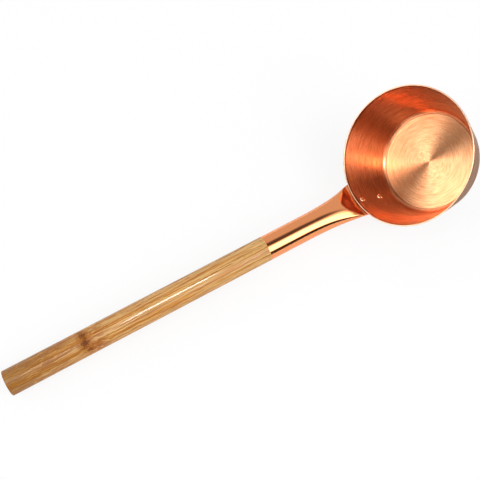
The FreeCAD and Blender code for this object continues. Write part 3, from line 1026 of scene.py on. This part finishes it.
# Corners of the dark cloth that lies on the floor before the handle, and its height, in metres
FLOOR_CLOTH = (
    (-0.60, -0.30),
    (-0.25, -0.11),
    (-0.02, -0.10),
    (0.17, -0.25),
    (0.60, -0.70),
    (0.20, -1.60),
    (-0.60, -1.60),
)
CLOTH_HEIGHT = 0.001

# The small lamp that draws the bright line along the bamboo
STRIP_PLACE = Vector((-0.035, -0.315, 1.14))
STRIP_SIZE = (0.21, 0.18)
STRIP_STRENGTH = 40.0

# The camera, as fitted to the photograph's view, with lens and sensor in millimetres
CAMERA_PLACE = Vector((-0.141310, -0.244302, 0.627361))
CAMERA_AIM = Vector((0.004200, 0.016800, 0.020))
CAMERA_ROLL = math.radians(0.1412)
CAMERA_LENS = 61.917
SENSOR = 36.0


def tent_direction(azimuth, elevation):
    """Direction from the tent's middle to a place on it."""
    level = math.cos(elevation)
    return Vector((level * math.cos(azimuth), level * math.sin(azimuth), math.sin(elevation)))


def tent_glow(direction):
    """Brightness of the tent in a direction from its middle."""
    glow = TENT_CLOTH
    for azimuth, elevation, half_width, half_height, softness, strength in TENT_AREAS:
        azimuth = math.radians(azimuth)
        middle = tent_direction(azimuth, math.radians(elevation))
        side = Vector((-math.sin(azimuth), math.cos(azimuth), 0))
        over = middle.cross(side)
        across = math.degrees(math.atan2(direction.dot(side), direction.dot(middle))) / half_width
        upward = math.degrees(math.asin(max(-1, min(direction.dot(over), 1)))) / half_height
        reach = (across ** 4 + upward ** 4) ** 0.25
        share = max(0, min((1 + softness - reach) / (2 * softness), 1))
        share = share * share * (3 - 2 * share)
        glow = glow * (1 - share) + strength * share
    return glow


def stage_piece(name, corners, faces):
    """Mesh object of the stage, linked into the scene."""
    mesh = bpy.data.meshes.new(name)
    mesh.from_pydata(corners, (), faces)
    piece = bpy.data.objects.new(name, mesh)
    bpy.context.scene.collection.objects.link(piece)
    return piece


def stage_sheet(name, size):
    """Rectangle round the origin, part of the stage."""
    wide, deep = size[0] / 2, size[1] / 2
    corners = ((-wide, -deep, 0), (wide, -deep, 0), (wide, deep, 0), (-wide, deep, 0))
    return stage_piece(name, corners, ((0, 1, 2, 3),))


def stage_finish(piece):
    """Nodes of a new material on a piece of the stage."""
    material = bpy.data.materials.new("stage_" + piece.name)
    piece.data.materials.append(material)
    return Finish(material)


class LADLE_OT_studio(bpy.types.Operator):
    """Sets up the pale floor, the light tent with its panels and cloths, and the camera"""

    bl_idname = "ladle.studio"
    bl_label = "Studio"

    def execute(self, context):
        context.scene.view_settings.view_transform = "Standard"
        self.add_air(context.scene)
        self.add_floor()
        self.add_tent()
        self.add_floor_cloth()
        self.add_strip_lamp()
        self.add_camera(context.scene)
        return {"FINISHED"}

    def add_air(self, scene):
        """White air behind all, with less light on the object than it shows."""
        scene.world = bpy.data.worlds.new("studio_air")
        finish = Finish(scene.world)
        seen = finish.seen(finish.step("LightPath").outputs)
        strength = finish.spread(seen, 0, 1, AIR_STRENGTH, 1.0)
        finish.show("Background", {"Color": WHITE, "Strength": strength}, "OutputWorld")

    def add_floor(self):
        """Pale floor that looks white to the camera and keeps the object's shadow."""
        finish = stage_finish(stage_sheet("floor", FLOOR_SIZE))
        path = finish.step("LightPath").outputs
        mirrored_share = finish.times(finish.seen(path), FLOOR_MIRRORED)
        share = finish.largest(mirrored_share, finish.times(path["Is Camera Ray"], FLOOR_SEEN))
        paint = finish.step("BsdfDiffuse", {"Color": FLOOR_GREY})
        glow = finish.step("Emission", {"Color": WHITE, "Strength": 1.0})
        finish.show("MixShader", {0: share, 1: paint.outputs[0], 2: glow.outputs[0]})

    def add_tent(self):
        """Dome over the ladle that lights it, with soft-edged panels and dark cloths in it."""
        corners = []
        glows = []
        for level in range(TENT_LEVELS + 1):
            elevation = TENT_FOOT + (math.pi / 2 - TENT_FOOT) * level / TENT_LEVELS
            for turn in range(TENT_TURNS):
                direction = tent_direction(2 * math.pi * turn / TENT_TURNS, elevation)
                corners.append(direction * TENT_RADIUS)
                glows.append(tent_glow(direction))
        faces = []
        for low in range(0, TENT_LEVELS * TENT_TURNS, TENT_TURNS):
            high = low + TENT_TURNS
            for turn in range(TENT_TURNS):
                following = (turn + 1) % TENT_TURNS
                faces.append((low + turn, low + following, high + following, high + turn))
        tent = stage_piece("light_tent", corners, faces)
        tent.visible_camera = False
        glow = tent.data.attributes.new("glow", "FLOAT", "POINT")
        glow.data.foreach_set("value", glows)
        finish = stage_finish(tent)
        glow_here = finish.step("Attribute", attribute_name="glow").outputs["Fac"]
        mirrored = finish.step("LightPath").outputs["Is Glossy Ray"]
        strength = finish.times(glow_here, finish.spread(mirrored, 0, 1, TENT_DIFFUSE, 1))
        finish.show("Emission", {"Color": WHITE, "Strength": strength})

    def add_floor_cloth(self):
        """Dark cloth on the floor, which only the copper and the varnish mirror."""
        corners = [(x, y, CLOTH_HEIGHT) for x, y in FLOOR_CLOTH]
        cloth = stage_piece("floor_cloth", corners, (tuple(range(len(corners))),))
        cloth.visible_camera = False
        cloth.visible_diffuse = False
        cloth.visible_shadow = False
        stage_finish(cloth).show("BsdfDiffuse", {"Color": CLOTH_GREY})

    def add_strip_lamp(self):
        """Small lamp over the handle, which only the copper and the varnish mirror."""
        back = STRIP_PLACE.normalized()
        across = Vector((1, 0, 0))
        across = (across - back * back.dot(across)).normalized()
        lamp = stage_sheet("strip_lamp", STRIP_SIZE)
        lamp.matrix_world = standing_frame(STRIP_PLACE, across, back)
        lamp.visible_camera = False
        lamp.visible_diffuse = False
        stage_finish(lamp).show("Emission", {"Color": WHITE, "Strength": STRIP_STRENGTH})

    def add_camera(self, scene):
        """Camera at the photograph's viewing angle."""
        lens = bpy.data.cameras.new("camera")
        lens.sensor_width = SENSOR
        lens.lens = CAMERA_LENS
        camera = bpy.data.objects.new("camera", lens)
        scene.collection.objects.link(camera)
        back = (CAMERA_PLACE - CAMERA_AIM).normalized()
        right = Vector((0, 0, 1)).cross(back).normalized()
        right = Matrix.Rotation(CAMERA_ROLL, 3, back) @ right
        camera.matrix_world = standing_frame(CAMERA_PLACE, right, back)
        scene.camera = camera


OPERATORS = (LADLE_OT_bowl, LADLE_OT_tube, LADLE_OT_grip, LADLE_OT_rivets, LADLE_OT_studio)


class LADLE_PT_panel(bpy.types.Panel):
    """Sizes, colours and steps of the sauna ladle"""

    bl_idname = "LADLE_PT_panel"
    bl_label = "Sauna ladle"
    bl_space_type = "VIEW_3D"
    bl_region_type = "UI"
    bl_category = "Sauna ladle"

    def draw(self, context):
        for group in (context.scene.ladle_sizes, context.scene.ladle_colours):
            box = self.layout.box()
            for name in group.bl_rna.properties.keys():
                if name not in ("rna_type", "name"):
                    box.prop(group, name)
        for operator in OPERATORS:
            self.layout.operator(operator.bl_idname)


CLASSES = (LadleSizes, LadleColours, *OPERATORS, LADLE_PT_panel)


def register():
    for each in CLASSES:
        bpy.utils.register_class(each)
    bpy.types.Scene.ladle_sizes = bpy.props.PointerProperty(type=LadleSizes)
    bpy.types.Scene.ladle_colours = bpy.props.PointerProperty(type=LadleColours)


def unregister():
    del bpy.types.Scene.ladle_colours
    del bpy.types.Scene.ladle_sizes
    for each in reversed(CLASSES):
        bpy.utils.unregister_class(each)


def main():
    register()
    for operator in OPERATORS:
        group, name = operator.bl_idname.split(".")
        getattr(getattr(bpy.ops, group), name)()
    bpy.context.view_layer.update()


if __name__ == "__main__":
    main()
